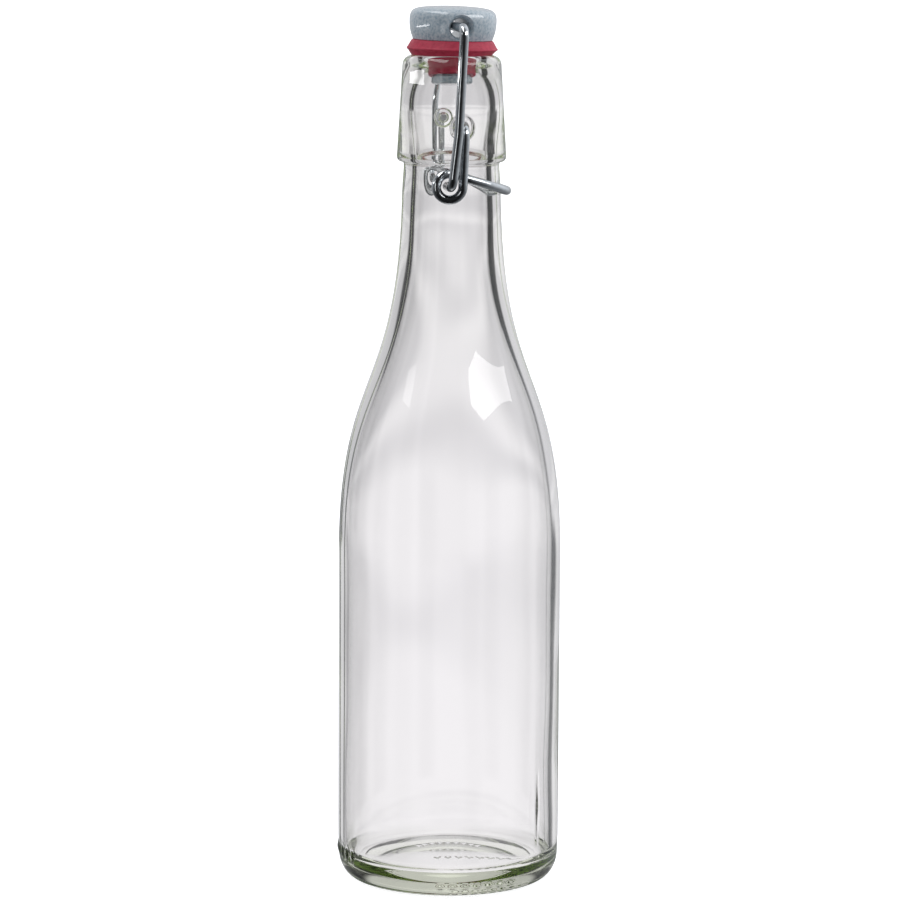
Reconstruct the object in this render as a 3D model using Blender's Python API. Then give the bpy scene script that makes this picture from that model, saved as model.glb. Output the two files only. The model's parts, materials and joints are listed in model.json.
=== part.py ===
"""A half-litre clear glass bottle with a wire swing-top closure, shown closed.

Metres, +Z up. The origin is the centre of the base, on the surface the bottle
stands on. The hinge axes of the closure run along Y, and the handle of the
lever lies round the neck on the +X side. The object is symmetric about XZ.
"""

import math

import bmesh
import bpy
from mathutils import Matrix, Vector
from mathutils.geometry import interpolate_bezier

MM = 0.001
GAP = 0.3 * MM  # left between pieces that touch on the real object

# Glass, outside
BODY_R = 35.0 * MM
HEEL_Z = 8.2 * MM  # where the heel meets the straight side
FOOT_R = 28.8 * MM  # outer edge of the flat ring the bottle stands on
PUSH_UP_R = 26.2 * MM  # inner edge of that ring
PUSH_UP_H = 3.0 * MM
SHOULDER_Z = 103.6 * MM
NECK_R = 15.45 * MM
NECK_Z = 217.4 * MM
NECK_TOP_R = 14.95 * MM
COLLAR_Z = 227.5 * MM  # underside of the collar
COLLAR_R = 17.1 * MM
LIP_R = 15.45 * MM
LIP_ROUND = 3.1 * MM
RIM_Z = 260.5 * MM  # the flat rim that the gasket seals

# Glass, inside
WALL = 2.7 * MM
FLOOR = 5.3 * MM  # in the middle, over the push-up
FLOOR_EDGE_Z = 7.6 * MM
FLOOR_ROUND = 3.6 * MM
NECK_WALL = 3.8 * MM
BORE_R = 8.2 * MM  # at the rim
THROAT_Z = 258.4 * MM  # below it the bore opens out
COLLAR_BORE_R, COLLAR_BORE_Z = 12.1 * MM, 243.5 * MM  # where it is widest
WAIST_R, WAIST_Z = 11.0 * MM, 227.5 * MM  # where it is narrowest, under the collar
MOUTH_ROUND = 1.0 * MM

# Hinge axes of the closure, as (x, z) of lines along Y
PIVOT = (0.0 * MM, 239.0 * MM)  # lever in the collar's dimples
EYE = (-4.7 * MM, 220.9 * MM)  # yoke in the lever's eyes
CROSS = (-1.1 * MM, 269.7 * MM)  # stopper on the yoke's cross wire

# Wires
WIRE_R = 1.45 * MM
BEND_R = 3.0 * MM
LEG_Y = 23.7 * MM  # plane of the yoke's legs
KNEE = (-2.7 * MM, 237.8 * MM)
HOOK_Y = 15.6 * MM  # free ends of the yoke
TIP_Y = 13.8 * MM  # free ends of the lever
ARM_Y = 20.45 * MM  # plane of the lever's arms
HANDLE_R = 17.25 * MM
HANDLE_SLOPE = math.radians(17.0)
EYE_R = 3.95 * MM
DIMPLE_R, DIMPLE_DEPTH = 4.4 * MM, 1.65 * MM
SOCKET_R, SOCKET_Y = 1.8 * MM, 13.4 * MM

# Stopper and gasket
HEAD_Z = 265.2 * MM
HEAD_FOOT_R = 12.5 * MM
HEAD_R = 13.9 * MM
HEAD_WIDEST_Z = 271.4 * MM
TOP_Z = 275.7 * MM
TOP_ROUND = 2.7 * MM
STEM_R = 5.7 * MM
NOSE_R = 6.5 * MM
NOSE_Z = 252.6 * MM
HOLE_Z = 269.2 * MM
HOLE_R, HOLE_MOUTH_R = 3.0 * MM, 4.0 * MM
RIDGE_R, RIDGE_Z = 14.2 * MM, 262.5 * MM
GASKET_R = 12.8 * MM
PLUG_R, PLUG_Z = 7.6 * MM, 255.7 * MM

GLASS_SEGMENTS, CLOSURE_SEGMENTS = 48, 32


def clear_scene():
    for thing in list(bpy.data.objects):
        bpy.data.objects.remove(thing, do_unlink=True)


def material(name, colour, roughness, metallic=0.0):
    made = bpy.data.materials.new(name)
    made.use_nodes = True
    shader = made.node_tree.nodes["Principled BSDF"]
    shader.inputs["Base Color"].default_value = (*colour, 1.0)
    shader.inputs["Roughness"].default_value = roughness
    shader.inputs["Metallic"].default_value = metallic
    return made


def arc(centre, radii, start, end, steps):
    """Points (r, z) on an ellipse's arc, with angles in degrees from +r towards +z."""
    turns = (math.radians(start + (end - start) * i / steps) for i in range(steps + 1))
    return [
        (centre[0] + radii[0] * math.cos(t), centre[1] + radii[1] * math.sin(t)) for t in turns
    ]


def bezier(start, handle, other_handle, end, steps):
    """Points (r, z) on a cubic curve."""
    ends = [Vector((*point, 0.0)) for point in (start, handle, other_handle, end)]
    return [(p.x, p.y) for p in interpolate_bezier(*ends, steps + 1)]


def mesh_object(name, bm, pivot, look):
    """An object whose origin is the pivot, from a mesh built in place."""
    bmesh.ops.recalc_face_normals(bm, faces=bm.faces)
    mesh = bpy.data.meshes.new(name)
    bm.to_mesh(mesh)
    bm.free()
    mesh.transform(Matrix.Translation(-pivot))
    mesh.shade_smooth()
    mesh.set_sharp_from_angle(angle=math.radians(35))
    thing = bpy.data.objects.new(name, mesh)
    thing.location = pivot
    bpy.context.collection.objects.link(thing)
    if look:
        mesh.materials.append(look)
    return thing


def turned(name, outline, segments, pivot, look, ring=False, axis="Z", centre=(0.0, 0.0, 0.0)):
    """A solid turned from an outline of (radius, height); a ring's outline closes on itself."""
    bm = bmesh.new()
    points = [bm.verts.new((r, 0.0, z)) for r, z in outline]
    pairs = zip(points, points[1:] + points[:1] if ring else points[1:])
    edges = [bm.edges.new(pair) for pair in pairs]
    bmesh.ops.spin(
        bm, geom=points + edges, axis=(0, 0, 1), cent=(0, 0, 0), steps=segments, angle=math.tau
    )
    bmesh.ops.remove_doubles(bm, verts=bm.verts, dist=1e-6)
    if axis == "Y":
        bm.transform(Matrix.Rotation(math.radians(-90), 4, "X"))
    bm.transform(Matrix.Translation(centre))
    return mesh_object(name, bm, pivot, look)


def cut(thing, cutter):
    """Takes the cutter's shape out of the object and keeps the cutter as a hidden guide."""
    cutter.hide_render = True
    cutter.display_type = "WIRE"
    boolean = thing.modifiers.new(cutter.name, "BOOLEAN")
    boolean.operation = "DIFFERENCE"
    boolean.solver = "EXACT"
    boolean.object = cutter


def rounded(corners, radii, step=math.radians(13)):
    """The points of a wire's centre line: straight runs with an arc at each inner corner."""
    points = [corners[0]]
    for before, corner, after, radius in zip(corners, corners[1:], corners[2:], radii):
        back, ahead = (before - corner).normalized(), (after - corner).normalized()
        opening = back.angle(ahead)
        reach = radius / math.tan(opening / 2)
        middle = corner + (back + ahead).normalized() * (radius / math.sin(opening / 2))
        start, end = corner + back * reach - middle, corner + ahead * reach - middle
        steps = max(2, math.ceil((math.pi - opening) / step))
        points += [middle + start.slerp(end, i / steps) * radius for i in range(steps + 1)]
    return points + [corners[-1]]


def mirrored(half):
    """A wire's whole centre line from its half at +Y, which ends on the mirror plane."""
    return half + [Vector((p.x, -p.y, p.z)) for p in reversed(half[:-1])]


def wire(name, points, pivot, look):
    curve = bpy.data.curves.new(name, "CURVE")
    curve.dimensions = "3D"
    curve.bevel_depth = WIRE_R
    curve.bevel_resolution = 3
    curve.use_fill_caps = True
    spline = curve.splines.new("POLY")
    spline.points.add(len(points) - 1)
    for knot, point in zip(spline.points, points):
        knot.co = (*(point - pivot), 1.0)
    curve.materials.append(look)
    thing = bpy.data.objects.new(name, curve)
    thing.location = pivot
    bpy.context.collection.objects.link(thing)
    return thing


def hang(child, parent):
    """Parents a piece without moving it; every piece is only shifted, never turned."""
    child.location -= parent.matrix_world.translation
    child.parent = parent
    bpy.context.view_layer.update()


def on_axis(axis):
    return Vector((axis[0], 0.0, axis[1]))


def glass_outside():
    """From the centre of the base out and up to the rim."""
    bow = (PUSH_UP_R**2 + PUSH_UP_H**2) / (2 * PUSH_UP_H)
    rise = math.degrees(math.asin(PUSH_UP_R / bow))
    collar_round = 1.5 * MM
    return (
        arc((0.0, PUSH_UP_H - bow), (bow, bow), 90, 90 - rise, 4)
        + arc((FOOT_R, HEEL_Z), (BODY_R - FOOT_R - 0.2 * MM, HEEL_Z), -90, 0, 7)
        + [(BODY_R, 40 * MM)]
        + bezier(
            (BODY_R, SHOULDER_Z),
            (BODY_R, SHOULDER_Z + 59.8 * MM),
            (NECK_R + 1.15 * MM, NECK_Z - 64.4 * MM),
            (NECK_R, NECK_Z),
            13,
        )
        + [(NECK_TOP_R, COLLAR_Z - 1.0 * MM)]
        + arc((COLLAR_R - collar_round, COLLAR_Z + collar_round), (collar_round,) * 2, -80, 0, 4)
        + arc((LIP_R - LIP_ROUND, RIM_Z - LIP_ROUND), (LIP_ROUND,) * 2, 5, 90, 5)
    )


def glass_inside():
    """From the rim down the bore and the inner wall to the centre of the floor."""
    inner_r = BODY_R - WALL
    neck_r = NECK_R - NECK_WALL
    floor_z = PUSH_UP_H + FLOOR
    return (
        arc((BORE_R + MOUTH_ROUND, RIM_Z - MOUTH_ROUND), (MOUTH_ROUND,) * 2, 90, 180, 3)
        + bezier(
            (BORE_R, THROAT_Z),
            (BORE_R + 1.4 * MM, THROAT_Z - 2.8 * MM),
            (COLLAR_BORE_R, COLLAR_BORE_Z + 8 * MM),
            (COLLAR_BORE_R, COLLAR_BORE_Z),
            5,
        )
        + bezier(
            (COLLAR_BORE_R, COLLAR_BORE_Z),
            (COLLAR_BORE_R, COLLAR_BORE_Z - 6 * MM),
            (WAIST_R, WAIST_Z + 6 * MM),
            (WAIST_R, WAIST_Z),
            5,
        )[1:]
        + bezier(
            (WAIST_R, WAIST_Z),
            (WAIST_R, WAIST_Z - 6.5 * MM),
            (neck_r - 0.1 * MM, NECK_Z - 3.5 * MM),
            (neck_r + 0.1 * MM, NECK_Z - 11 * MM),
            4,
        )[1:-1]
        + bezier(
            (neck_r + 0.1 * MM, NECK_Z - 11 * MM),
            (neck_r + 1.6 * MM, NECK_Z - 62 * MM),
            (inner_r, SHOULDER_Z + 55.5 * MM),
            (inner_r, SHOULDER_Z),
            11,
        )
        + [(inner_r, 40 * MM)]
        + arc(
            (inner_r - FLOOR_ROUND, FLOOR_EDGE_Z + FLOOR_ROUND), (FLOOR_ROUND,) * 2, 0, -80, 6
        )
        + [(0.0, floor_z)]
    )


def make_bottle(look):
    bottle = turned("bottle", glass_outside() + glass_inside(), GLASS_SEGMENTS, Vector(), look)
    out_y = LEG_Y
    flare = (DIMPLE_R - SOCKET_R) / DIMPLE_DEPTH
    face_y = COLLAR_R - 0.3 * MM
    socket = [
        (0.0, SOCKET_Y),
        (SOCKET_R, SOCKET_Y),
        (SOCKET_R, face_y - DIMPLE_DEPTH),
        (SOCKET_R + flare * (out_y - face_y + DIMPLE_DEPTH), out_y),
        (0.0, out_y),
    ]
    for side, heights in (("left", 1), ("right", -1)):
        outline = [(r, heights * y) for r, y in socket]
        cutter = turned(
            f"{side}_dimple_cutter", outline, 32, Vector(), None, axis="Y", centre=on_axis(PIVOT)
        )
        cut(bottle, cutter)


def make_stopper(look):
    dome_r = HEAD_R - 1.5 * TOP_ROUND
    outline = (
        [(0.0, NOSE_Z)]
        + arc((NOSE_R - 1.2 * MM, NOSE_Z + 1.2 * MM), (1.2 * MM,) * 2, -90, 0, 4)
        + bezier(
            (NOSE_R, NOSE_Z + 2.2 * MM),
            (NOSE_R, NOSE_Z + 3.0 * MM),
            (STEM_R, NOSE_Z + 2.0 * MM),
            (STEM_R, NOSE_Z + 2.9 * MM),
            3,
        )
        + [(STEM_R, HEAD_Z)]
        + bezier(
            (HEAD_FOOT_R, HEAD_Z),
            (HEAD_FOOT_R + 0.8 * MM, HEAD_Z + 2.2 * MM),
            (HEAD_R, HEAD_WIDEST_Z - 2.0 * MM),
            (HEAD_R, HEAD_WIDEST_Z),
            5,
        )
        + bezier(
            (HEAD_R - 0.05 * MM, HEAD_WIDEST_Z + 0.8 * MM),
            (HEAD_R - 0.3 * MM, HEAD_WIDEST_Z + 2.8 * MM),
            (HEAD_R - 1.2 * MM, TOP_Z - 0.9 * MM),
            (dome_r, TOP_Z - 0.5 * MM),
            6,
        )
        + [(0.5 * dome_r, TOP_Z - 0.13 * MM), (0.0, TOP_Z)]
    )
    stopper = turned("stopper", outline, CLOSURE_SEGMENTS, on_axis(CROSS), look)
    mouth_y = HEAD_R - 0.5 * MM
    flare_y = 2.6 * MM
    beyond = 4.0 * MM
    half = [
        (HOLE_R, mouth_y - flare_y),
        (HOLE_MOUTH_R - 0.35 * MM, mouth_y - 0.9 * MM),
        (HOLE_MOUTH_R + 0.3 * MM, mouth_y + 0.5 * MM),
        (HOLE_MOUTH_R + 2.0 * MM, mouth_y + beyond),
        (0.0, mouth_y + beyond),
    ]
    outline = [(r, -y) for r, y in reversed(half)] + half
    cutter = turned(
        "cross_hole_cutter", outline, 32, Vector(), None, axis="Y", centre=(0.0, 0.0, HOLE_Z)
    )
    cut(stopper, cutter)
    return stopper


def make_gasket(look):
    hole_r = STEM_R + GAP
    outline = [
        (hole_r, HEAD_Z - GAP),
        (hole_r, PLUG_Z),
        (PLUG_R - 0.5 * MM, PLUG_Z),
        (PLUG_R, PLUG_Z + 1.0 * MM),
        (PLUG_R, RIM_Z + GAP - 0.2 * MM),
        (PLUG_R + 1.0 * MM, RIM_Z + GAP),
        (GASKET_R, RIM_Z + GAP),
        (RIDGE_R, RIDGE_Z),
        (HEAD_FOOT_R + 0.2 * MM, HEAD_Z - GAP),
    ]
    return turned("gasket", outline, CLOSURE_SEGMENTS, on_axis(CROSS), look, ring=True)


def make_yoke(look):
    corners = [
        Vector((EYE[0], HOOK_Y, EYE[1])),
        Vector((EYE[0], LEG_Y, EYE[1])),
        Vector((KNEE[0], LEG_Y, KNEE[1])),
        Vector((CROSS[0], LEG_Y, CROSS[1])),
        on_axis(CROSS),
    ]
    half = rounded(corners, (BEND_R, 5 * BEND_R, BEND_R))
    return wire("yoke_wire", mirrored(half), on_axis(EYE), look)


def make_lever(look):
    """Tip in the dimple, arm down to the eye, one turn of the eye, then the handle round the neck."""
    reach = Vector((EYE[0] - PIVOT[0], EYE[1] - PIVOT[1]))
    lean = math.asin(EYE_R / reach.length)
    first = math.atan2(reach.y, reach.x) + lean + math.pi / 2  # where the arm meets the eye
    last = math.pi / 2 - HANDLE_SLOPE - math.tau  # where the handle leaves it
    steps = 22
    eye = []
    for i in range(steps + 1):
        part = i / steps
        angle = first + (last - first) * part
        side = ARM_Y + (HANDLE_R - ARM_Y) * part
        eye.append(
            Vector((EYE[0] + EYE_R * math.cos(angle), side, EYE[1] + EYE_R * math.sin(angle)))
        )
    corners = [
        Vector((PIVOT[0], TIP_Y, PIVOT[1])),
        Vector((PIVOT[0], ARM_Y, PIVOT[1])),
        eye[0],
    ]
    start = eye[-1]
    handle = []
    for i in range(9):
        angle = math.pi / 2 * i / 8
        x = HANDLE_R * math.sin(angle)
        drop = (x - start.x) * math.tan(HANDLE_SLOPE)
        handle.append(Vector((x, HANDLE_R * math.cos(angle), start.z - drop)))
    half = rounded(corners, (BEND_R - 0.4 * MM,)) + eye[1:] + handle
    return wire("lever_wire", mirrored(half), on_axis(PIVOT), look)


def main():
    clear_scene()
    glass = material("clear_glass", (0.90, 0.95, 0.93), 0.03)
    steel = material("bright_steel", (0.62, 0.63, 0.64), 0.2, metallic=1.0)
    porcelain = material("glazed_porcelain", (0.82, 0.85, 0.86), 0.15)
    rubber = material("red_rubber", (0.62, 0.06, 0.08), 0.5)

    make_bottle(glass)
    lever = make_lever(steel)
    yoke = make_yoke(steel)
    stopper = make_stopper(porcelain)
    gasket = make_gasket(rubber)
    bpy.context.view_layer.update()
    hang(yoke, lever)
    hang(stopper, yoke)
    hang(gasket, stopper)


main()
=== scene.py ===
"""Looks for the half-litre swing-top bottle: clear glass, bright wire closure, glazed
porcelain stopper and red rubber gasket. Metres, +Z up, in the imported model's frame.
Angles round the bottle are in degrees from +X towards +Y. Headings, used for the studio,
are in degrees from +Y towards -X, as seen from the bottle."""

import json
import math

import bpy
import numpy as np
from mathutils import Matrix, Vector
from mathutils.geometry import interpolate_bezier


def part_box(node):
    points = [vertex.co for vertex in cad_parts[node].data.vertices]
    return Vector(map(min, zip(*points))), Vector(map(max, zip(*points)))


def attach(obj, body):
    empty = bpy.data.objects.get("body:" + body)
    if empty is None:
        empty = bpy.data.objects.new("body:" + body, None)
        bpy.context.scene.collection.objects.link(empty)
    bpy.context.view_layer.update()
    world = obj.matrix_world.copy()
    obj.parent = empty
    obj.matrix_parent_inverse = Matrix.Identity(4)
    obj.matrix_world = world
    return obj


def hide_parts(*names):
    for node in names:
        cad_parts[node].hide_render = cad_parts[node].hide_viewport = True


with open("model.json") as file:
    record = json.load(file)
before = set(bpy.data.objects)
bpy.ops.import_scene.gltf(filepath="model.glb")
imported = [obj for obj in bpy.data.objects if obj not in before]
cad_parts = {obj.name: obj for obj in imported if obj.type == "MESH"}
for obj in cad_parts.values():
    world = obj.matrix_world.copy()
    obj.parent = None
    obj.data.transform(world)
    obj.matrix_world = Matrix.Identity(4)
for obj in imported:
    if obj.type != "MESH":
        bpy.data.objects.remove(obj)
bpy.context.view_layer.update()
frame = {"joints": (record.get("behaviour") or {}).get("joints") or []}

MM = 0.001

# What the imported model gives.
BODY_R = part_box("bottle")[1].x
RIM_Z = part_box("bottle")[1].z
HEAD_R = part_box("stopper")[1].y
TOP_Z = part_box("stopper")[1].z
NOSE_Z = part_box("stopper")[0].z
RIDGE_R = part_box("gasket")[1].y
PIVOT, EYE, CROSS = (Vector(joint["pos_m"]) for joint in frame["joints"])

# The glass.
HEEL_Z = 8.2 * MM
FOOT_R = 28.8 * MM
PUSH_UP_R = 26.2 * MM
PUSH_UP_H = 3.0 * MM
SHOULDER_Z = 103.6 * MM
NECK_R = 15.45 * MM
NECK_Z = 217.4 * MM
NECK_TOP_R = 14.95 * MM
COLLAR_Z = 227.5 * MM
COLLAR_R = 17.1 * MM
COLLAR_ROUND = 1.5 * MM
LIP_R = 15.45 * MM
LIP_ROUND = 3.1 * MM
WALL = 2.7 * MM
FLOOR = 5.3 * MM
FLOOR_EDGE_Z = 7.6 * MM
FLOOR_ROUND = 3.6 * MM
NECK_WALL = 3.8 * MM
BORE_R = 8.2 * MM
THROAT_Z = 258.4 * MM
COLLAR_BORE_R, COLLAR_BORE_Z = 12.1 * MM, 243.5 * MM
WAIST_R, WAIST_Z = 11.0 * MM, 227.5 * MM
MOUTH_ROUND = 1.0 * MM

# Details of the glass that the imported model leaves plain.
SEAM_ANGLES = (0.0, 180.0)
SEAM_HEIGHT, SEAM_HALF_WIDTH = 0.10 * MM, 0.35 * MM
DIMPLE_ANGLES = (90.0, 270.0)
DIMPLE_STEP = 0.3 * MM  # spacing of the mesh there
DIMPLE_STEPS = 22
DIMPLE_R, DIMPLE_FLOOR_Y = 4.4 * MM, 15.15 * MM
SOCKET_R, SOCKET_Y = 1.8 * MM, 13.4 * MM
BASE_DOT_R, BASE_DOT_H = 1.2 * MM, 1.1 * MM
DOT_ARC_R = 12.5 * MM
BASE_DOTS = tuple(
    (DOT_ARC_R * math.cos(a), DOT_ARC_R * math.sin(a))
    for a in (math.radians(78 + 12 * i) for i in range(-4, 5))
) + tuple(
    ((3.3 * i - 4.5) * MM, (-5.2 - 0.5 * i) * MM) for i in range(8)
)  # (x, y): an arc of nine and a slanted row of eight
HEEL_MARK_R, HEEL_MARK_H, HEEL_MARK_STRETCH = 1.05 * MM, 0.8 * MM, 1.9
HEEL_MARKS = tuple((1.6 * MM, 262 + 5.5 * i) for i in range(9)) + tuple(
    (3.6 * MM, 254 + 6.5 * i) for i in range(7)
)  # (height, angle)
HEEL_STROKE_R, HEEL_STROKE_H, HEEL_STROKE_STRETCH = 1.3 * MM, 0.5 * MM, 2.2
HEEL_STROKE_Z = 9.5 * MM
HEEL_STROKE_ANGLES = tuple(172.0 + 6.5 * i for i in range(5))
TICK_ANGLE, TICK_Z = -49.0, 26 * MM
TICK_H, TICK_WIDTH, TICK_HALF_LENGTH = 0.5 * MM, 0.25 * MM, 3.4 * MM

# The glass mesh's columns, in degrees: the widest step, and the finer steps on the strokes.
COLUMN_STEP = 1.8
STROKE_COLUMNS = (165.0, 206.0, 0.9)  # (start, end, step)
ROUNDING_STRETCH = 1.03  # the dimple's columns are this much further apart than its rows

# The closure.
WIRE_R = 1.45 * MM
BEND_R = 3.0 * MM
LEG_Y = 23.7 * MM
KNEE = Vector((-2.7 * MM, 0.0, 237.8 * MM))
HOOK_Y = 15.6 * MM
TIP_Y = 13.8 * MM
ARM_Y = 20.45 * MM
HANDLE_R = 17.25 * MM
HANDLE_SLOPE = math.radians(17.0)
EYE_R = 3.95 * MM
HEAD_Z = 265.2 * MM
HEAD_FOOT_R = 12.5 * MM
HEAD_WIDEST_Z = 271.4 * MM
TOP_ROUND = 2.7 * MM
STEM_R = 5.7 * MM
NOSE_R = 6.5 * MM
HOLE_Z = 269.2 * MM
HOLE_R = 3.0 * MM
HOLE_MOUTH_R = 4.0 * MM
RIDGE_Z = 262.5 * MM
GASKET_R = 12.8 * MM
PLUG_R = 7.6 * MM
PLUG_Z = 255.7 * MM
STOPPER_TILT = math.radians(1.4)  # the stopper sits a little askew on the rim

# The camera: turned a little left of the XZ plane, looking slightly down.
CAMERA_TURN = math.radians(-12)
CAMERA_DISTANCE = 1.287
CAMERA_HEIGHT = 0.320
CAMERA_AIM_Z = 0.1365
CAMERA_ROLL = math.radians(0.3)
LENS = 165.1


def node(tree, kind, **values):
    made = tree.nodes.new(kind)
    for name, value in values.items():
        setattr(made, name, value)
    return made


def towards(heading, elevation):
    """The unit vector to that heading and elevation, in degrees."""
    turn, rise = math.radians(heading), math.radians(elevation)
    return Vector(
        (-math.sin(turn) * math.cos(rise), math.cos(turn) * math.cos(rise), math.sin(rise))
    )


# ---------------------------------------------------------------- studio


def make_camera():
    data = bpy.data.cameras.new("camera")
    data.lens = LENS
    data.sensor_width = 36.0
    data.clip_start, data.clip_end = 0.05, 50.0
    camera = bpy.data.objects.new("camera", data)
    away = Vector((math.sin(CAMERA_TURN), -math.cos(CAMERA_TURN), 0.0)) * CAMERA_DISTANCE
    camera.location = away + Vector((0.0, 0.0, CAMERA_HEIGHT))
    look = Vector((0.0, 0.0, CAMERA_AIM_Z)) - camera.location
    camera.rotation_mode = "QUATERNION"
    level = look.to_track_quat("-Z", "Y")
    camera.rotation_quaternion = level @ Matrix.Rotation(CAMERA_ROLL, 4, "Z").to_quaternion()
    bpy.context.collection.objects.link(camera)
    bpy.context.scene.camera = camera


# The light through the glass by the height of its direction, and by its heading.
LIGHT_BY_HEIGHT = (
    (-0.235, 0.98),
    (-0.201, 0.97),
    (-0.177, 0.88),
    (-0.153, 0.98),
    (-0.129, 0.97),
    (-0.105, 0.80),
    (-0.088, 0.93),
    (-0.057, 0.71),
)
LIGHT_BY_HEADING = (
    (-90, 0.85),
    (-38, 0.86),
    (-24, 0.93),
    (-12, 1.0),
    (-2, 0.91),
    (8, 0.8),
    (30, 0.74),
)

# Dark flags that draw the edges of the glass: heading of the middle, half width, level. One
# set shows through the neck and one through the body, where the light slopes more. A third
# takes over for steeper light still, so that views from above stay clear. The flag at 160
# stands behind the camera.
NECK_FLAGS = (
    (-64, 10, 0.0),
    (41, 7, 0.05),
    (117, 5, 0.05),
    (160, 24, 0.04),
    (256, 6, 0.05),
)
BODY_FLAGS = (
    (-60, 15, 0.02),
    (34, 8, 0.5),
    (62, 6, 0.4),
    (117, 5, 0.4),
    (194, 5, 0.4),
    (256, 6, 0.4),
)
STEEP_FLAGS = ((-64, 10, 0.0),)
FLAG_EDGE = 8.0  # degrees over which a flag fades at each side

# Heights of the direction between which one set gives way to the next.
NECK_SLOPE, BODY_SLOPE = -0.10, -0.17
STEEP, LEVELLER = -0.42, -0.30

# What the shiny pieces mirror, as (heading, level), darkest behind the camera; and the
# softer light that falls on the opaque ones.
MIRRORED = (
    (-12, 0.7),
    (30, 0.8),
    (65, 0.5),
    (110, 0.12),
    (145, 0.03),
    (190, 0.03),
    (225, 0.4),
    (262, 0.95),
    (300, 1.3),
    (328, 0.8),
)
FALLING = ((-12, 1.0), (80, 0.85), (168, 0.42), (225, 0.95), (290, 1.3))
OVERHEAD_SPAN = (-0.6, 0.3)
OVERHEAD_LEVELS = ((0.22, 0.23, 0.24), (0.9, 0.93, 0.97))
BACKDROP = 1.05

BOUNCES = 64  # light crosses the thick glass of the heel many times


def on_gradient(heading):
    """A heading's place on a radial gradient of the direction, from 0 to 1."""
    return ((heading + 270) % 360) / 360


def round_the_set(tree, around, stops):
    """A ramp over the headings; it is the same at both ends of the gradient."""
    ramp = node(tree, "ShaderNodeValToRGB")
    ramp.color_ramp.interpolation = "EASE"
    elements = ramp.color_ramp.elements
    stops = sorted((on_gradient(heading), level) for heading, level in stops)
    (first, low), (last, high) = stops[0], stops[-1]
    gap = first + 1 - last
    seam = high + (low - high) * (1 - last) / gap
    elements[0].color = elements[1].color = (seam, seam, seam, 1.0)
    for place, level in stops:
        elements.new(place).color = (level, level, level, 1.0)
    tree.links.new(around.outputs["Fac"], ramp.inputs[0])
    return ramp.outputs["Color"]


def by_height(tree, height, span, levels):
    """A colour that changes smoothly with the height of the direction."""
    part = node(tree, "ShaderNodeMapRange", interpolation_type="SMOOTHSTEP")
    part.inputs["From Min"].default_value, part.inputs["From Max"].default_value = span
    tree.links.new(height, part.inputs["Value"])
    shade = node(tree, "ShaderNodeMix", data_type="RGBA")
    shade.inputs["A"].default_value = (*levels[0], 1.0)
    shade.inputs["B"].default_value = (*levels[1], 1.0)
    tree.links.new(part.outputs[0], shade.inputs["Factor"])
    return shade.outputs["Result"]


def times(tree, first, second):
    both = node(tree, "ShaderNodeMix", data_type="RGBA", blend_type="MULTIPLY")
    both.inputs["Factor"].default_value = 1.0
    tree.links.new(first, both.inputs["A"])
    tree.links.new(second, both.inputs["B"])
    return both.outputs["Result"]


def choose(tree, factor, no, yes):
    mixed = node(tree, "ShaderNodeMixShader")
    tree.links.new(factor, mixed.inputs["Fac"])
    tree.links.new(no, mixed.inputs[1])
    tree.links.new(yes, mixed.inputs[2])
    return mixed.outputs[0]


def tinted(level):
    """Light through the glass: a trace of magenta low down, where it is brighter."""
    return (level, level * 0.975, level * (1.01 + 0.05 * (1 - level)), 1.0)


def flagged(tree, around, flags):
    stops = []
    for heading, half, level in flags:
        reach = half + FLAG_EDGE
        stops += [(heading - reach, 1.0), (heading - half, level)]
        stops += [(heading + half, level), (heading + reach, 1.0)]
    return round_the_set(tree, around, stops)


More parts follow.
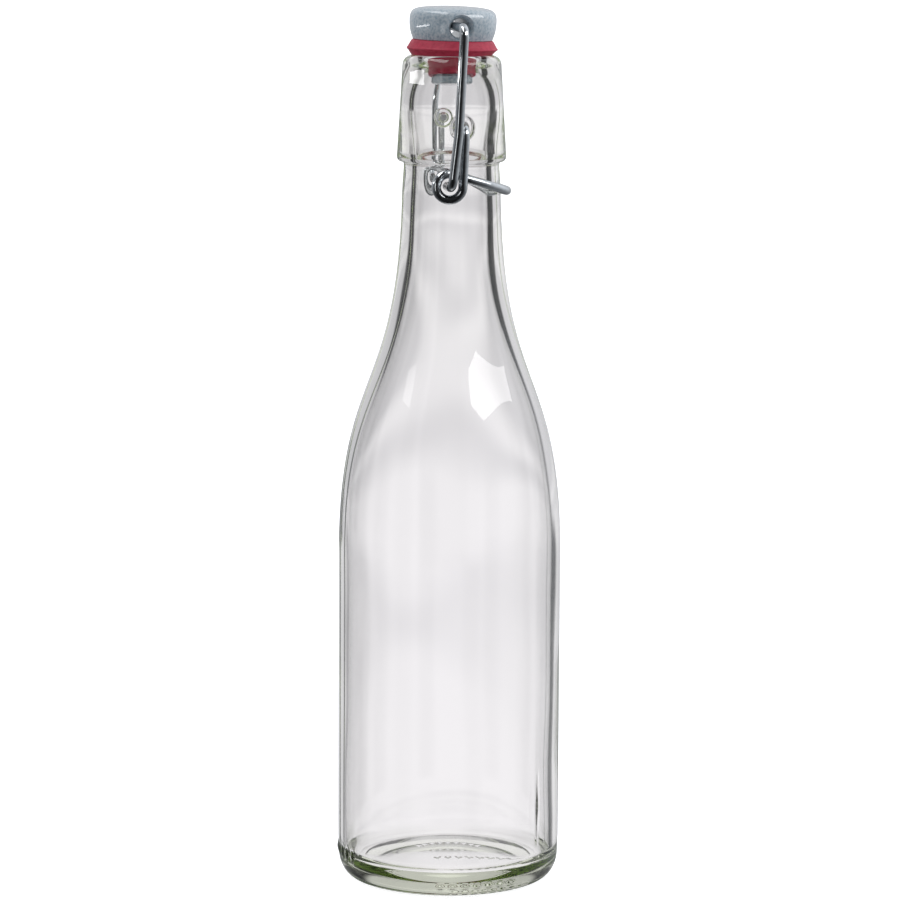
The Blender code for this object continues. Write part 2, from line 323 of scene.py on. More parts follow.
def make_world():
    """White to the camera, flagged light through the glass, and light from behind the
    object for what the opaque pieces show."""
    world = bpy.data.worlds.new("studio")
    world.use_nodes = True
    bpy.context.scene.world = world
    tree = world.node_tree
    tree.nodes.clear()
    direction = node(tree, "ShaderNodeTexCoord").outputs["Generated"]
    split = node(tree, "ShaderNodeSeparateXYZ")
    tree.links.new(direction, split.inputs[0])
    around = node(tree, "ShaderNodeTexGradient", gradient_type="RADIAL")
    tree.links.new(direction, around.inputs[0])

    height = node(tree, "ShaderNodeMapRange")
    lowest, highest = LIGHT_BY_HEIGHT[0][0], LIGHT_BY_HEIGHT[-1][0]
    height.inputs["From Min"].default_value = lowest
    height.inputs["From Max"].default_value = highest
    tree.links.new(split.outputs["Z"], height.inputs["Value"])
    levels = node(tree, "ShaderNodeValToRGB")
    levels.color_ramp.interpolation = "EASE"
    for slope, level in LIGHT_BY_HEIGHT[1:-1]:
        element = levels.color_ramp.elements.new((slope - lowest) / (highest - lowest))
        element.color = tinted(level)
    levels.color_ramp.elements[0].color = tinted(LIGHT_BY_HEIGHT[0][1])
    levels.color_ramp.elements[-1].color = tinted(LIGHT_BY_HEIGHT[-1][1])
    tree.links.new(height.outputs[0], levels.inputs[0])
    sweep = times(tree, levels.outputs[0], round_the_set(tree, around, LIGHT_BY_HEADING))
    slope = node(tree, "ShaderNodeMapRange", interpolation_type="SMOOTHSTEP")
    slope.inputs["From Min"].default_value = BODY_SLOPE
    slope.inputs["From Max"].default_value = NECK_SLOPE
    tree.links.new(split.outputs["Z"], slope.inputs["Value"])
    flags = node(tree, "ShaderNodeMix", data_type="RGBA")
    tree.links.new(slope.outputs[0], flags.inputs["Factor"])
    tree.links.new(flagged(tree, around, BODY_FLAGS), flags.inputs["A"])
    tree.links.new(flagged(tree, around, NECK_FLAGS), flags.inputs["B"])
    steep = by_height(tree, split.outputs["Z"], (STEEP, LEVELLER), ((1.0,) * 3, (0.0,) * 3))
    all_flags = node(tree, "ShaderNodeMix", data_type="RGBA")
    tree.links.new(steep, all_flags.inputs["Factor"])
    tree.links.new(flags.outputs["Result"], all_flags.inputs["A"])
    tree.links.new(flagged(tree, around, STEEP_FLAGS), all_flags.inputs["B"])
    through = node(tree, "ShaderNodeBackground")
    tree.links.new(times(tree, sweep, all_flags.outputs["Result"]), through.inputs["Color"])

    overhead = by_height(tree, split.outputs["Z"], OVERHEAD_SPAN, OVERHEAD_LEVELS)
    mirrored_light, falling_light = (
        times(tree, round_the_set(tree, around, light), overhead) for light in (MIRRORED, FALLING)
    )
    onto = node(tree, "ShaderNodeBackground")
    tree.links.new(mirrored_light, onto.inputs["Color"])
    soft = node(tree, "ShaderNodeBackground")
    tree.links.new(falling_light, soft.inputs["Color"])

    backdrop = node(tree, "ShaderNodeBackground")
    backdrop.inputs["Color"].default_value = (1.0, 1.0, 1.0, 1.0)
    backdrop.inputs["Strength"].default_value = BACKDROP
    path = node(tree, "ShaderNodeLightPath")
    mirrored_ray = node(tree, "ShaderNodeMath", operation="SUBTRACT", use_clamp=True)
    tree.links.new(path.outputs["Is Glossy Ray"], mirrored_ray.inputs[0])
    tree.links.new(path.outputs["Is Transmission Ray"], mirrored_ray.inputs[1])
    diffused = node(tree, "ShaderNodeMath", operation="MINIMUM", use_clamp=True)
    diffused.inputs[1].default_value = 1.0
    tree.links.new(path.outputs["Diffuse Depth"], diffused.inputs[0])
    shiny = choose(tree, mirrored_ray.outputs[0], through.outputs[0], onto.outputs[0])
    lit = choose(tree, diffused.outputs[0], shiny, soft.outputs[0])
    seen = choose(tree, path.outputs["Is Camera Ray"], lit, backdrop.outputs[0])
    out = node(tree, "ShaderNodeOutputWorld")
    tree.links.new(seen, out.inputs["Surface"])


def plane_object(name, corners, look):
    mesh = bpy.data.meshes.new(name)
    mesh.from_pydata(corners, [], [tuple(range(len(corners)))])
    mesh.materials.append(look)
    plane = bpy.data.objects.new(name, mesh)
    bpy.context.collection.objects.link(plane)
    return plane


def make_floor():
    look, _, _ = principled(
        "pale_floor",
        Base_Color=(0.9, 0.9, 0.9, 1.0),
        Roughness=0.9,
        Emission_Color=(1.0, 1.0, 1.0, 1.0),
        Emission_Strength=0.72,
    )
    reach = 9.0
    corners = [(x * reach, y * reach, -0.2 * MM) for x, y in ((-1, -1), (1, -1), (1, 1), (-1, 1))]
    floor = plane_object("floor", corners, look)
    floor.visible_diffuse = False
    floor.visible_glossy = False
    floor.visible_transmission = False
    floor.visible_shadow = False


# Softboxes: name, height they're measured from, distance, corners as (heading, elevation),
# and level.
SOFTBOXES = (
    (
        "right_softbox",
        0.16,
        1.2,
        ((197, 29.6), (212, 24.6), (261, 19.2), (261, 40), (228, 48), (197, 50)),
        5.0,
    ),
    ("left_card", 0.255, 0.11, ((62, -0.9), (106, 0.4), (106, 3.3), (62, 1.0)), 9.0),
    ("wire_card", 0.25, 0.108, ((136, -18), (147, -18), (147, 6), (136, 6)), 1.6),
    ("left_strip", 0.16, 1.2, ((98, 24.5), (111, 25.5), (111, 38), (98, 38)), 2.0),
    ("top_card", 0.27, 0.8, ((45, 42), (150, 42), (150, 75), (45, 75)), 4.0),
)


def make_softboxes():
    for name, base, distance, ends, level in SOFTBOXES:
        look = bpy.data.materials.new(name)
        look.use_nodes = True
        tree = look.node_tree
        tree.nodes.clear()
        glow = node(tree, "ShaderNodeEmission")
        glow.inputs["Strength"].default_value = level
        out = node(tree, "ShaderNodeOutputMaterial")
        tree.links.new(glow.outputs[0], out.inputs["Surface"])
        corners = [Vector((0, 0, base)) + towards(*end) * distance for end in ends]
        box = plane_object(name, corners, look)
        box.visible_camera = False
        box.visible_diffuse = False
        box.visible_transmission = False


# ---------------------------------------------------------------- materials


def principled(name, **sockets):
    """A material, its node tree and its Principled shader with these sockets set."""
    look = bpy.data.materials.new(name)
    look.use_nodes = True
    shader = look.node_tree.nodes["Principled BSDF"]
    for socket, value in sockets.items():
        shader.inputs[socket.replace("_", " ")].default_value = value
    return look, look.node_tree, shader


def noise(tree, place, scale, detail=2.0, stretch=None):
    """Noise over the object, as a value."""
    if stretch:
        mapping = node(tree, "ShaderNodeMapping")
        mapping.inputs["Scale"].default_value = stretch
        tree.links.new(place, mapping.inputs["Vector"])
        place = mapping.outputs[0]
    made = node(tree, "ShaderNodeTexNoise")
    made.inputs["Scale"].default_value = scale
    made.inputs["Detail"].default_value = detail
    tree.links.new(place, made.inputs["Vector"])
    return made.outputs["Fac"]


def spread(tree, value, low, high, start=0.3, end=0.7):
    """The value, from start to end, spread over low to high."""
    made = node(tree, "ShaderNodeMapRange")
    made.inputs["From Min"].default_value = start
    made.inputs["From Max"].default_value = end
    made.inputs["To Min"].default_value = low
    made.inputs["To Max"].default_value = high
    tree.links.new(value, made.inputs["Value"])
    return made.outputs[0]


def blended(tree, factor, first, second):
    made = node(tree, "ShaderNodeMix", data_type="RGBA")
    made.inputs["A"].default_value = (*first, 1.0)
    made.inputs["B"].default_value = (*second, 1.0)
    tree.links.new(factor, made.inputs["Factor"])
    return made.outputs["Result"]


def bumped(tree, shader, value, depth, distance=1.0):
    made = node(tree, "ShaderNodeBump")
    made.inputs["Strength"].default_value = depth
    made.inputs["Distance"].default_value = distance
    tree.links.new(value, made.inputs["Height"])
    tree.links.new(made.outputs[0], shader.inputs["Normal"])


def glass_material():
    look, tree, shader = principled(
        "clear_glass",
        Base_Color=(1.0, 1.0, 1.0, 1.0),
        Roughness=0.0,
        IOR=1.52,
        Transmission_Weight=1.0,
    )
    tint = node(tree, "ShaderNodeVolumeAbsorption")
    tint.inputs["Color"].default_value = (0.75, 0.815, 0.58, 1.0)
    tint.inputs["Density"].default_value = 12.0
    tree.links.new(tint.outputs[0], tree.nodes["Material Output"].inputs["Volume"])
    place = node(tree, "ShaderNodeTexCoord").outputs["Object"]
    bumped(tree, shader, noise(tree, place, 45.0), 0.05, 0.3 * MM)
    return look


def steel_material():
    """Bright drawn wire; its UV runs round the wire and along it."""
    look, tree, shader = principled("bright_wire", Metallic=1.0)
    along = node(tree, "ShaderNodeUVMap", uv_map="along").outputs[0]
    streaks = noise(tree, along, 1.0, 3.0, (60.0, 2.5, 1.0))
    place = node(tree, "ShaderNodeTexCoord").outputs["Object"]
    patches = noise(tree, place, 900.0, 3.0)
    colour = blended(tree, patches, (0.34, 0.36, 0.38), (0.62, 0.64, 0.66))
    tree.links.new(colour, shader.inputs["Base Color"])
    tree.links.new(spread(tree, streaks, 0.05, 0.16), shader.inputs["Roughness"])
    bumped(tree, shader, streaks, 0.12, 0.05 * MM)
    return look


def porcelain_material():
    look, tree, shader = principled(
        "glazed_porcelain",
        IOR=1.5,
        Coat_Weight=1.0,
        Coat_Roughness=0.04,
        Coat_IOR=1.5,
    )
    place = node(tree, "ShaderNodeTexCoord").outputs["Object"]
    clouds = noise(tree, place, 240.0, 5.0)
    colour = blended(tree, clouds, (0.43, 0.51, 0.57), (0.58, 0.67, 0.73))
    grain = noise(tree, place, 1300.0, 4.0)
    flecks = node(tree, "ShaderNodeMix", data_type="RGBA", blend_type="OVERLAY")
    flecks.inputs["Factor"].default_value = 0.45
    tree.links.new(colour, flecks.inputs["A"])
    tree.links.new(spread(tree, grain, 0.2, 0.85, 0.35, 0.65), flecks.inputs["B"])
    tree.links.new(flecks.outputs["Result"], shader.inputs["Base Color"])
    tree.links.new(spread(tree, grain, 0.25, 0.45), shader.inputs["Roughness"])
    bumped(tree, shader, clouds, 0.15, 0.15 * MM)
    return look


def rubber_material():
    look, tree, shader = principled("red_rubber", IOR=1.5, Specular_IOR_Level=0.2)
    place = node(tree, "ShaderNodeTexCoord").outputs["Object"]
    clouds = noise(tree, place, 700.0, 4.0)
    colour = blended(tree, clouds, (0.42, 0.02, 0.05), (0.80, 0.075, 0.14))
    tree.links.new(colour, shader.inputs["Base Color"])
    grain = noise(tree, place, 1800.0, 3.0)
    tree.links.new(spread(tree, grain, 0.34, 0.6), shader.inputs["Roughness"])
    bumped(tree, shader, grain, 0.35, 0.12 * MM)
    return look


# ---------------------------------------------------------------- outlines


def arc(centre, radii, start, end, steps):
    turns = (math.radians(start + (end - start) * i / steps) for i in range(steps + 1))
    return [
        (centre[0] + radii[0] * math.cos(t), centre[1] + radii[1] * math.sin(t)) for t in turns
    ]


def bezier(start, handle, other_handle, end, steps):
    ends = [Vector((*point, 0.0)) for point in (start, handle, other_handle, end)]
    return [(p.x, p.y) for p in interpolate_bezier(*ends, steps + 1)]


def between(start, end, steps):
    """The points that divide a straight run, without its ends."""
    return [tuple(a + (b - a) * i / steps for a, b in zip(start, end)) for i in range(1, steps)]


def push_up():
    """The domed underside, with rows close together where the dots are."""
    bow = (PUSH_UP_R**2 + PUSH_UP_H**2) / (2 * PUSH_UP_H)
    near_dots = [(3.6 + 0.65 * i) * MM for i in range(27)]
    radii = [0.0, 2 * MM, *near_dots, PUSH_UP_R - 0.6 * MM]
    return [(r, PUSH_UP_H - bow + math.sqrt(bow**2 - r**2)) for r in radii]


def glass_outside():
    dimple_low = PIVOT.z - DIMPLE_STEPS * DIMPLE_STEP
    dimple_high = PIVOT.z + DIMPLE_STEPS * DIMPLE_STEP
    collar_low = arc(
        (COLLAR_R - COLLAR_ROUND, COLLAR_Z + COLLAR_ROUND), (COLLAR_ROUND,) * 2, -85, 0, 9
    )
    lip = arc((LIP_R - LIP_ROUND, RIM_Z - LIP_ROUND), (LIP_ROUND,) * 2, 5, 90, 16)
    lean = (lip[0][0] - COLLAR_R) / (lip[0][1] - collar_low[-1][1])
    low = (COLLAR_R + lean * (dimple_low - collar_low[-1][1]), dimple_low)
    high = (COLLAR_R + lean * (dimple_high - collar_low[-1][1]), dimple_high)
    return (
        push_up()
        + [(PUSH_UP_R - 0.1 * MM, 0.12 * MM), (PUSH_UP_R + 0.3 * MM, 0.0)]
        + between((PUSH_UP_R, 0.0), (FOOT_R, 0.0), 5)
        + arc((FOOT_R, HEEL_Z), (BODY_R - FOOT_R - 0.2 * MM, HEEL_Z), -90, 0, 26)
        + between((BODY_R - 0.2 * MM, HEEL_Z), (BODY_R, 14 * MM), 8)
        + between((BODY_R, 14 * MM), (BODY_R, SHOULDER_Z), 14)
        + bezier(
            (BODY_R, SHOULDER_Z),
            (BODY_R, SHOULDER_Z + 59.8 * MM),
            (NECK_R + 1.15 * MM, NECK_Z - 64.4 * MM),
            (NECK_R, NECK_Z),
            48,
        )
        + bezier(
            (NECK_R - 0.05 * MM, NECK_Z + 1 * MM),
            (NECK_R - 0.3 * MM, NECK_Z + 6 * MM),
            (NECK_TOP_R, COLLAR_Z - 3.0 * MM),
            (NECK_TOP_R, COLLAR_Z - 1.2 * MM),
            6,
        )
        + arc((NECK_TOP_R + 0.8 * MM, COLLAR_Z - 0.8 * MM), (0.8 * MM,) * 2, 180, 100, 4)
        + collar_low
        + between(collar_low[-1], low, 4)
        + [low]
        + between(low, high, 2 * DIMPLE_STEPS)
        + [high]
        + between(high, lip[0], 10)
        + lip
    )


def glass_inside():
    inner_r = BODY_R - WALL
    neck_r = NECK_R - NECK_WALL
    return (
        arc((BORE_R + MOUTH_ROUND, RIM_Z - MOUTH_ROUND), (MOUTH_ROUND,) * 2, 90, 180, 8)
        + bezier(
            (BORE_R, THROAT_Z),
            (BORE_R + 1.4 * MM, THROAT_Z - 2.8 * MM),
            (COLLAR_BORE_R, COLLAR_BORE_Z + 8 * MM),
            (COLLAR_BORE_R, COLLAR_BORE_Z),
            16,
        )
        + bezier(
            (COLLAR_BORE_R, COLLAR_BORE_Z),
            (COLLAR_BORE_R, COLLAR_BORE_Z - 6 * MM),
            (WAIST_R, WAIST_Z + 6 * MM),
            (WAIST_R, WAIST_Z),
            14,
        )[1:]
        + bezier(
            (WAIST_R, WAIST_Z),
            (WAIST_R, WAIST_Z - 6.5 * MM),
            (neck_r - 0.1 * MM, NECK_Z - 3.5 * MM),
            (neck_r + 0.1 * MM, NECK_Z - 11 * MM),
            12,
        )[1:-1]
        + bezier(
            (neck_r + 0.1 * MM, NECK_Z - 11 * MM),
            (neck_r + 1.6 * MM, NECK_Z - 62 * MM),
            (inner_r, SHOULDER_Z + 55.5 * MM),
            (inner_r, SHOULDER_Z),
            42,
        )
        + between((inner_r, SHOULDER_Z), (inner_r, FLOOR_EDGE_Z + FLOOR_ROUND), 10)
        + arc(
            (inner_r - FLOOR_ROUND, FLOOR_EDGE_Z + FLOOR_ROUND), (FLOOR_ROUND,) * 2, 0, -85, 16
        )
        + between((inner_r - FLOOR_ROUND, FLOOR_EDGE_Z), (0.0, PUSH_UP_H + FLOOR), 8)
        + [(0.0, PUSH_UP_H + FLOOR)]
    )


# ---------------------------------------------------------------- meshes


def mesh_object(name, verts, faces, look, sharp=None):
    mesh = bpy.data.meshes.new(name)
    mesh.from_pydata(verts, [], faces)
    mesh.validate()
    mesh.materials.append(look)
    mesh.shade_smooth()
    if sharp:
        mesh.set_sharp_from_angle(angle=math.radians(sharp))
    piece = bpy.data.objects.new(name, mesh)
    bpy.context.collection.objects.link(piece)
    return piece


def grid_faces(rows, columns, closed=False):
    """Quads of a grid that wraps round its columns, and round its rows too if closed."""
    faces = []
    for i in range(rows if closed else rows - 1):
        low, high = i * columns, (i + 1) % rows * columns
        for j in range(columns):
            k = (j + 1) % columns
            faces.append((low + j, low + k, high + k, high + j))
    return faces


def revolved(name, outline, columns, look, sharp=None, closed=False):
    """A solid turned from an outline that starts and ends on the axis, or closes."""
    rings = outline if closed else outline[1:-1]
    angles = [math.tau * i / columns for i in range(columns)]
    verts = [(r * math.cos(a), r * math.sin(a), z) for r, z in rings for a in angles]
    faces = grid_faces(len(rings), columns, closed)
    if not closed:
        faces += close_poles(verts, len(rings), columns, outline[0][1], outline[-1][1])
    return mesh_object(name, verts, faces, look, sharp)


def close_poles(verts, rows, columns, first_z, last_z):
    """Adds a vertex on the axis at each end of the grid, and returns the faces round it."""
    first = len(verts)
    verts += [(0.0, 0.0, first_z), (0.0, 0.0, last_z)]
    top = (rows - 1) * columns
    faces = []
    for j in range(columns):
        k = (j + 1) % columns
        faces += [(first, k, j), (first + 1, top + j, top + k)]
    return faces


def glass_columns():
    """Angles round the glass in degrees, closer together at each detail."""
    dimple = math.degrees(DIMPLE_STEP / COLLAR_R * ROUNDING_STRETCH)
    columns = []
    for middle in DIMPLE_ANGLES:
        columns += [middle + i * dimple for i in range(-DIMPLE_STEPS, DIMPLE_STEPS + 1)]
    for middle in SEAM_ANGLES:
        columns += [middle + side * a for side in (-1, 1) for a in (0.0, 0.3, 0.6, 1.0, 1.5)]
    columns += [TICK_ANGLE % 360 + a for a in (-0.6, -0.3, 0.0, 0.3, 0.6)]
    columns += [a for a in np.arange(*STROKE_COLUMNS) if abs(a - 180) > 2]
    taken = sorted({round(a % 360, 6) for a in columns})
    for low, high in zip(taken, taken[1:] + [taken[0] + 360]):
        parts = max(1, round((high - low) / COLUMN_STEP))
        columns += [low + (high - low) * i / parts for i in range(1, parts)]
    return np.radians(sorted({round(a % 360, 6) for a in columns}))


def bump_at(distance, radius):
    """A smooth bump of height 1 that ends at the radius."""
    return np.where(distance < radius, np.cos(distance / radius * math.pi / 2) ** 2, 0.0)


def angle_gap(angles, middle):
    """Signed difference from the middle, in radians, with both in radians."""
    return (angles - middle + math.pi) % math.tau - math.pi


def round_rings(turn, z):
    """Bends the square mesh round each dimple so that its lines become circles."""
    reach = (DIMPLE_STEPS - 1) * DIMPLE_STEP
    inner = 5.0 * MM
    for middle in np.radians(DIMPLE_ANGLES):
        side = angle_gap(turn, middle) * COLLAR_R / ROUNDING_STRETCH
        rise = z - PIVOT.z
        square = np.maximum(abs(side), abs(rise))
        near = (square < reach) & (square > 0)
        part = np.clip((reach - square) / (reach - inner), 0.0, 1.0)
        part = part * part * (3 - 2 * part) * near
        scale = 1 + part * (square / np.maximum(np.hypot(side, rise), 1e-9) - 1)
        turn = turn + angle_gap(turn, middle) * (scale - 1)
        z = z + rise * (scale - 1)
    return turn, z


def dimple_depth(distance):
    """How far from the XZ plane the glass may reach at that distance from the pivot's axis."""
    places = np.array([0.0, SOCKET_R - 0.1 * MM, SOCKET_R + 0.2 * MM, 3.3 * MM, DIMPLE_R, 7 * MM])
    depths = np.array([SOCKET_Y, SOCKET_Y, DIMPLE_FLOOR_Y, 15.3 * MM, 16.9 * MM, 19 * MM])
    return np.interp(distance, places, depths)


def shaped_outside(outline, columns):
    r, z = (np.array(values)[:, None] for values in zip(*outline))
    turn = np.broadcast_to(columns, (len(outline), len(columns)))
    z = np.broadcast_to(z, turn.shape)
    r = np.broadcast_to(r, turn.shape)
    on_collar = (z > COLLAR_Z + COLLAR_ROUND) & (z < RIM_Z - LIP_ROUND)
    new_turn, new_z = round_rings(turn, z)
    lean = (LIP_R - COLLAR_R) / (RIM_Z - LIP_ROUND - COLLAR_Z - COLLAR_ROUND)
    r = np.where(on_collar, r + lean * (new_z - z), r)
    turn = np.where(on_collar, new_turn, turn)
    z = np.where(on_collar, new_z, z)

    above_heel = np.clip((z - 5 * MM) / (6 * MM), 0, 1)
    below_rim = np.clip((RIM_Z - 4 * MM - z) / (3 * MM), 0, 1)
    on_wall = above_heel * below_rim * (r > NECK_TOP_R - 1 * MM)
    for seam in np.radians(SEAM_ANGLES):
        across = angle_gap(turn, seam) * r
        r = r + SEAM_HEIGHT * np.exp(-((across / SEAM_HALF_WIDTH) ** 2)) * on_wall
    for angle in HEEL_STROKE_ANGLES:
        across = angle_gap(turn, math.radians(angle)) * BODY_R
        away = np.hypot(across, (z - HEEL_STROKE_Z) / HEEL_STROKE_STRETCH)
        r = r + HEEL_STROKE_H * bump_at(away, HEEL_STROKE_R) * (r > FOOT_R)
    across = angle_gap(turn, math.radians(TICK_ANGLE)) * BODY_R
    ridge = TICK_H * np.exp(-((across / TICK_WIDTH) ** 2))
    r = r + ridge * bump_at(abs(z - TICK_Z), TICK_HALF_LENGTH)

    under = (r < PUSH_UP_R) & (z < PUSH_UP_H + 0.1 * MM)
    for x, y in BASE_DOTS:
        away = np.hypot(r * np.cos(turn) - x, r * np.sin(turn) - y)
        z = z - BASE_DOT_H * bump_at(away, BASE_DOT_R) * under
    for height, angle in HEEL_MARKS:
        across = angle_gap(turn, math.radians(angle)) * BODY_R
        away = np.hypot(across / HEEL_MARK_STRETCH, z - height) * (1 + 9 * (r < FOOT_R))
        r = r + HEEL_MARK_H * bump_at(away, HEEL_MARK_R)

    x, y = r * np.cos(turn), r * np.sin(turn)
    limit = dimple_depth(np.hypot(x, z - PIVOT.z))
    cut = on_collar & (abs(y) > limit) & (abs(x) < 7 * MM)
    y = np.where(cut, np.sign(y) * limit, y)
    return np.stack((x, y, z), axis=-1)


def shaped_inside(outline, columns):
    """The blown inner wall, a little uneven."""
    r, z = (np.array(values)[:, None] for values in zip(*outline))
    turn = columns[None, :]
    uneven = 0.12 * np.cos(2 * turn + 40 * z + 0.6) + 0.08 * np.cos(3 * turn - 75 * z)
    uneven = uneven + 0.04 * np.cos(5 * turn + 120 * z + 1.0)
    fade = np.clip((z - 16 * MM) / (20 * MM), 0, 1) * np.clip((NECK_Z - z) / (30 * MM), 0.2, 1)
    fade = fade * np.clip((RIM_Z - 6 * MM - z) / (20 * MM), 0, 1)
    r = r + uneven * MM * fade
    z = np.broadcast_to(z, r.shape)
    return np.stack((r * np.cos(turn), r * np.sin(turn), z), axis=-1)


def make_bottle(look):
    columns = glass_columns()
    outside, inside = glass_outside(), glass_inside()
    grid = np.concatenate(
        (shaped_outside(outside[1:], columns), shaped_inside(inside[:-1], columns))
    )
    verts = [tuple(p) for p in grid.reshape(-1, 3).tolist()]
    faces = grid_faces(len(grid), len(columns))
    faces += close_poles(verts, len(grid), len(columns), outside[0][1], inside[-1][1])
    bottle = mesh_object("bottle_glass", verts, faces, look)
    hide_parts("bottle")
    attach(bottle, "bottle")


# ---------------------------------------------------------------- closure


def rounded(corners, radii, step=math.radians(5)):
    """The points of a wire's centre line: straight runs with an arc at each inner corner."""
    points = [corners[0]]
    for before, corner, after, radius in zip(corners, corners[1:], corners[2:], radii):
        back, ahead = (before - corner).normalized(), (after - corner).normalized()
        opening = back.angle(ahead)
        reach = radius / math.tan(opening / 2)
        middle = corner + (back + ahead).normalized() * (radius / math.sin(opening / 2))
        start, end = corner + back * reach - middle, corner + ahead * reach - middle
        steps = max(3, math.ceil((math.pi - opening) / step))
        points += [middle + start.slerp(end, i / steps) * radius for i in range(steps + 1)]
    return points + [corners[-1]]


def mirrored(half):
    """A wire's whole centre line from its half at +Y, which ends on the mirror plane."""
    return half + [Vector((p.x, -p.y, p.z)) for p in reversed(half[:-1])]


def evened(points, spacing):
    """The same line with no stretch longer than the spacing."""
    line = [points[0]]
    for start, end in zip(points, points[1:]):
        parts = max(1, math.ceil((end - start).length / spacing))
        line += [start.lerp(end, i / parts) for i in range(1, parts + 1)]
    return line


def wire_object(name, points, look, sides=20):
    """A round wire along a line, with a small chamfer on its cut ends, and a UV layer that
    runs once round the wire and along it in units of its circumference."""
    points = evened(points, 1.2 * MM)
    tangents = [
        (after - before).normalized()
        for before, after in zip([points[0], *points[:-1]], [*points[1:], points[-1]])
    ]
    chamfer = 0.25 * MM
    across = tangents[0].orthogonal().normalized()
    rings, travelled = [], []
    last, length = points[0], 0.0
    for point, tangent in zip(points, tangents):
        across = (across - tangent * across.dot(tangent)).normalized()
        length += (point - last).length
        last = point
        rings.append((point, across, tangent.cross(across), WIRE_R))
        travelled.append(length)
    first, final = rings[0], rings[-1]
    rings[0] = (first[0] + tangents[0] * chamfer, *first[1:])
    rings[-1] = (final[0] - tangents[-1] * chamfer, *final[1:])
    rings = [(*first[:3], WIRE_R - chamfer), *rings, (*final[:3], WIRE_R - chamfer)]
    travelled = [0.0, *travelled, length]
    verts = []
    for point, across, up, radius in rings:
        for i in range(sides):
            turn = math.tau * i / sides
            verts.append(point + (across * math.cos(turn) + up * math.sin(turn)) * radius)
    faces = grid_faces(len(rings), sides)
    faces += [tuple(reversed(range(sides))), tuple(range(len(verts) - sides, len(verts)))]
    piece = mesh_object(name, verts, faces, look, 40)
    layer = piece.data.uv_layers.new(name="along")
    for loop in piece.data.loops:
        ring, side = divmod(loop.vertex_index, sides)
        layer.data[loop.index].uv = (side / sides, travelled[ring] / (math.tau * WIRE_R))
    return piece


def make_yoke(look):
    corners = [
        Vector((EYE.x, HOOK_Y, EYE.z)),
        Vector((EYE.x, LEG_Y, EYE.z)),
        Vector((KNEE.x, LEG_Y, KNEE.z)),
        Vector((CROSS.x, LEG_Y, CROSS.z)),
        Vector((CROSS.x, 0.0, CROSS.z)),
    ]
    half = rounded(corners, (BEND_R, 5 * BEND_R, BEND_R))
    yoke = wire_object("yoke_bail", mirrored(half), look)
    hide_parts("yoke_wire")
    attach(yoke, "yoke")


def make_lever(look):
    """Tip in the dimple, arm down to the eye, one turn of the eye, handle round the neck."""
    reach = Vector((EYE.x - PIVOT.x, EYE.z - PIVOT.z))
    lean = math.asin(EYE_R / reach.length)
    first = math.atan2(reach.y, reach.x) + lean + math.pi / 2
    last = math.pi / 2 - HANDLE_SLOPE - math.tau
    steps = 64
    eye = []
    for i in range(steps + 1):
        part = i / steps
        angle = first + (last - first) * part
        side = ARM_Y + (HANDLE_R - ARM_Y) * part
        eye.append(Vector((EYE.x + EYE_R * math.cos(angle), side, EYE.z + EYE_R * math.sin(angle))))
    corners = [
        Vector((PIVOT.x, TIP_Y, PIVOT.z)),
        Vector((PIVOT.x, ARM_Y, PIVOT.z)),
        eye[0],
    ]
    start = eye[-1]
    handle = []
    for i in range(33):
        angle = math.pi / 2 * i / 32
        x = HANDLE_R * math.sin(angle)
        drop = (x - start.x) * math.tan(HANDLE_SLOPE)
        handle.append(Vector((x, HANDLE_R * math.cos(angle), start.z - drop)))
    half = rounded(corners, (BEND_R - 0.4 * MM,)) + eye[1:] + handle
    lever = wire_object("lever_bail", mirrored(half), look)
    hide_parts("lever_wire")
    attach(lever, "lever")


def tilted(piece, start_z, end_z):
    """Leans the piece to the camera's right, growing from nothing at one height to whole at
    the other, so that what rests on the rim stays flat on it."""
    across = Vector((math.cos(CAMERA_TURN), math.sin(CAMERA_TURN), 0.0))
    for vert in piece.data.vertices:
        part = min(1.0, max(0.0, (vert.co.z - start_z) / (end_z - start_z)))
        side = vert.co.dot(across)
        vert.co.z -= math.sin(STOPPER_TILT) * side * part
        vert.co += across * (math.sin(STOPPER_TILT) * (vert.co.z - start_z) * part)


def stopper_outline():
    dome_r = HEAD_R - 1.5 * TOP_ROUND
    return (
        [(0.0, NOSE_Z), (0.5 * NOSE_R, NOSE_Z)]
        + arc((NOSE_R - 1.2 * MM, NOSE_Z + 1.2 * MM), (1.2 * MM,) * 2, -90, 0, 8)
        + bezier(
            (NOSE_R, NOSE_Z + 2.2 * MM),
            (NOSE_R, NOSE_Z + 3.0 * MM),
            (STEM_R, NOSE_Z + 2.0 * MM),
            (STEM_R, NOSE_Z + 2.9 * MM),
            6,
        )
        + [(STEM_R, HEAD_Z), (STEM_R + 0.5 * MM, HEAD_Z)]
        + arc((HEAD_FOOT_R - 0.4 * MM, HEAD_Z + 0.4 * MM), (0.4 * MM,) * 2, -90, -20, 4)
        + bezier(
            (HEAD_FOOT_R + 0.05 * MM, HEAD_Z + 0.6 * MM),
            (HEAD_FOOT_R + 0.9 * MM, HEAD_Z + 2.6 * MM),
            (HEAD_R, HEAD_WIDEST_Z - 2.0 * MM),
            (HEAD_R, HEAD_WIDEST_Z),
            16,
        )
        + bezier(
            (HEAD_R - 0.01 * MM, HEAD_WIDEST_Z + 0.4 * MM),
            (HEAD_R - 0.2 * MM, HEAD_WIDEST_Z + 2.8 * MM),
            (HEAD_R - 1.2 * MM, TOP_Z - 0.9 * MM),
            (dome_r, TOP_Z - 0.5 * MM),
            16,
        )
        + bezier(
            (dome_r - 1.0 * MM, TOP_Z - 0.38 * MM),
            (dome_r - 4.0 * MM, TOP_Z - 0.1 * MM),
            (2.0 * MM, TOP_Z),
            (0.0, TOP_Z),
            8,
        )
    )


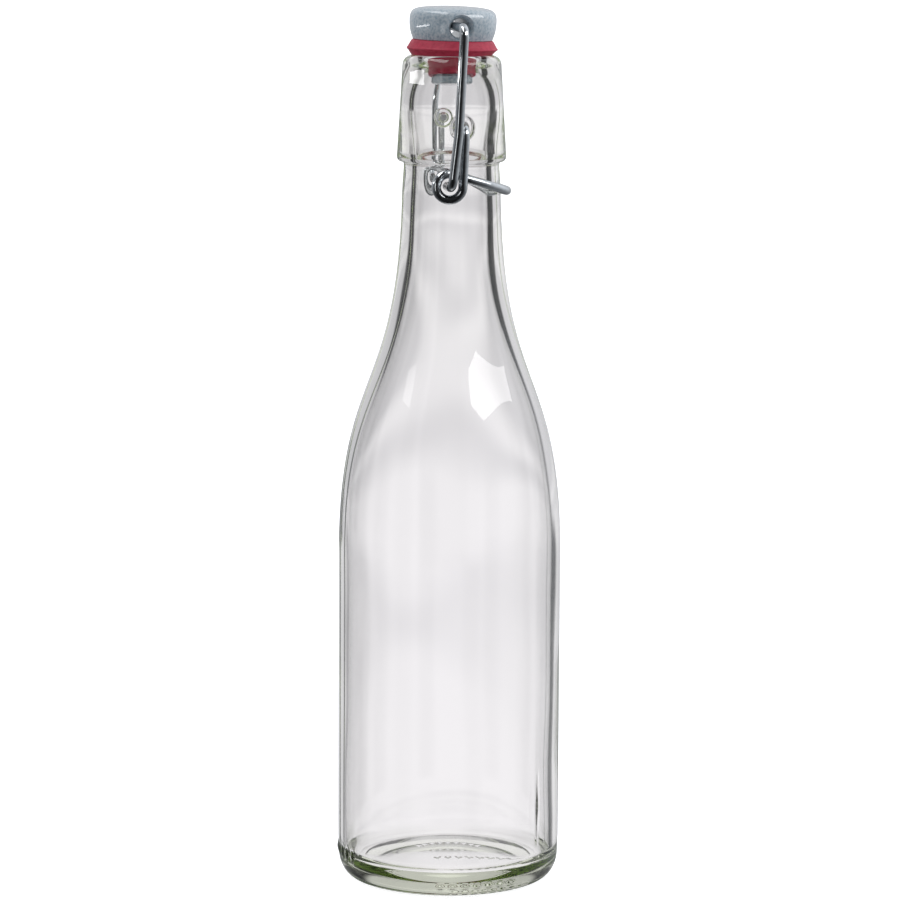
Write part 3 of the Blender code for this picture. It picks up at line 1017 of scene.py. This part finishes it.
def hole_outline():
    """Half of the cross hole's cutter, from its middle outwards, as (radius, distance)."""
    mouth = HEAD_R - 0.5 * MM
    return [
        (HOLE_R, 0.0),
        (HOLE_R, mouth - 2.6 * MM),
        (HOLE_R + 0.2 * MM, mouth - 1.7 * MM),
        (HOLE_MOUTH_R - 0.35 * MM, mouth - 0.8 * MM),
        (HOLE_MOUTH_R + 0.3 * MM, mouth + 0.2 * MM),
        (HOLE_MOUTH_R + 1.4 * MM, mouth + 1.0 * MM),
        (HOLE_MOUTH_R + 3.0 * MM, mouth + 1.8 * MM),
        (HOLE_MOUTH_R + 3.0 * MM, mouth + 4.0 * MM),
    ]


def make_stopper(look):
    stopper = revolved("stopper_porcelain", stopper_outline(), 128, look)
    half = hole_outline()
    outline = [(r, -y) for r, y in reversed(half)] + half[1:]
    outline = [(0.0, outline[0][1]), *outline, (0.0, outline[-1][1])]
    cutter = revolved("cross_hole_cutter", outline, 64, look)
    turn = Matrix.Rotation(math.radians(-90), 4, "X")
    cutter.data.transform(Matrix.Translation((0.0, 0.0, HOLE_Z)) @ turn)
    boolean = stopper.modifiers.new("cross_hole", "BOOLEAN")
    boolean.operation = "DIFFERENCE"
    boolean.solver = "EXACT"
    boolean.object = cutter
    graph = bpy.context.evaluated_depsgraph_get()
    cut = bpy.data.meshes.new_from_object(stopper.evaluated_get(graph))
    stopper.modifiers.clear()
    stopper.data = cut
    bpy.data.objects.remove(cutter)
    cut.shade_smooth()
    cut.set_sharp_from_angle(angle=math.radians(40))
    tilted(stopper, RIM_Z, HEAD_Z)
    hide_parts("stopper")
    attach(stopper, "stopper")


def make_gasket(look):
    hole_r = STEM_R + 0.05 * MM
    rim = RIM_Z + 0.05 * MM
    outline = (
        [(hole_r, HEAD_Z - 0.1 * MM), (hole_r, PLUG_Z + 0.4 * MM), (hole_r + 0.3 * MM, PLUG_Z)]
        + arc((PLUG_R - 0.7 * MM, PLUG_Z + 0.7 * MM), (0.7 * MM,) * 2, -90, 0, 6)
        + [(PLUG_R, PLUG_Z + 2.4 * MM), (PLUG_R + 0.05 * MM, rim - 1.0 * MM)]
        + arc((PLUG_R + 1.0 * MM, rim - 0.95 * MM), (0.95 * MM,) * 2, 180, 90, 6)
        + [(GASKET_R - 0.8 * MM, rim)]
        + arc((GASKET_R - 0.4 * MM, rim + 0.4 * MM), (0.4 * MM,) * 2, -90, -30, 4)
        + between((GASKET_R, rim + 0.3 * MM), (RIDGE_R - 0.25 * MM, RIDGE_Z - 0.25 * MM), 5)
        + arc((RIDGE_R - 0.35 * MM, RIDGE_Z), (0.35 * MM,) * 2, -60, 60, 8)
        + between(
            (RIDGE_R - 0.2 * MM, RIDGE_Z + 0.3 * MM),
            (HEAD_FOOT_R + 0.25 * MM, HEAD_Z - 0.2 * MM),
            6,
        )
        + arc((HEAD_FOOT_R - 0.1 * MM, HEAD_Z - 0.4 * MM), (0.35 * MM,) * 2, 30, 90, 4)
    )
    gasket = revolved("gasket_rubber", outline, 128, look, 50, closed=True)
    tilted(gasket, RIM_Z + 0.3 * MM, RIDGE_Z)
    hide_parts("gasket")
    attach(gasket, "stopper")


def main():
    bpy.context.scene.view_settings.view_transform = "Standard"
    cycles = bpy.context.scene.cycles
    cycles.max_bounces = cycles.transmission_bounces = cycles.glossy_bounces = BOUNCES
    make_camera()
    make_world()
    make_floor()
    make_softboxes()
    make_bottle(glass_material())
    steel = steel_material()
    make_yoke(steel)
    make_lever(steel)
    make_stopper(porcelain_material())
    make_gasket(rubber_material())


main()
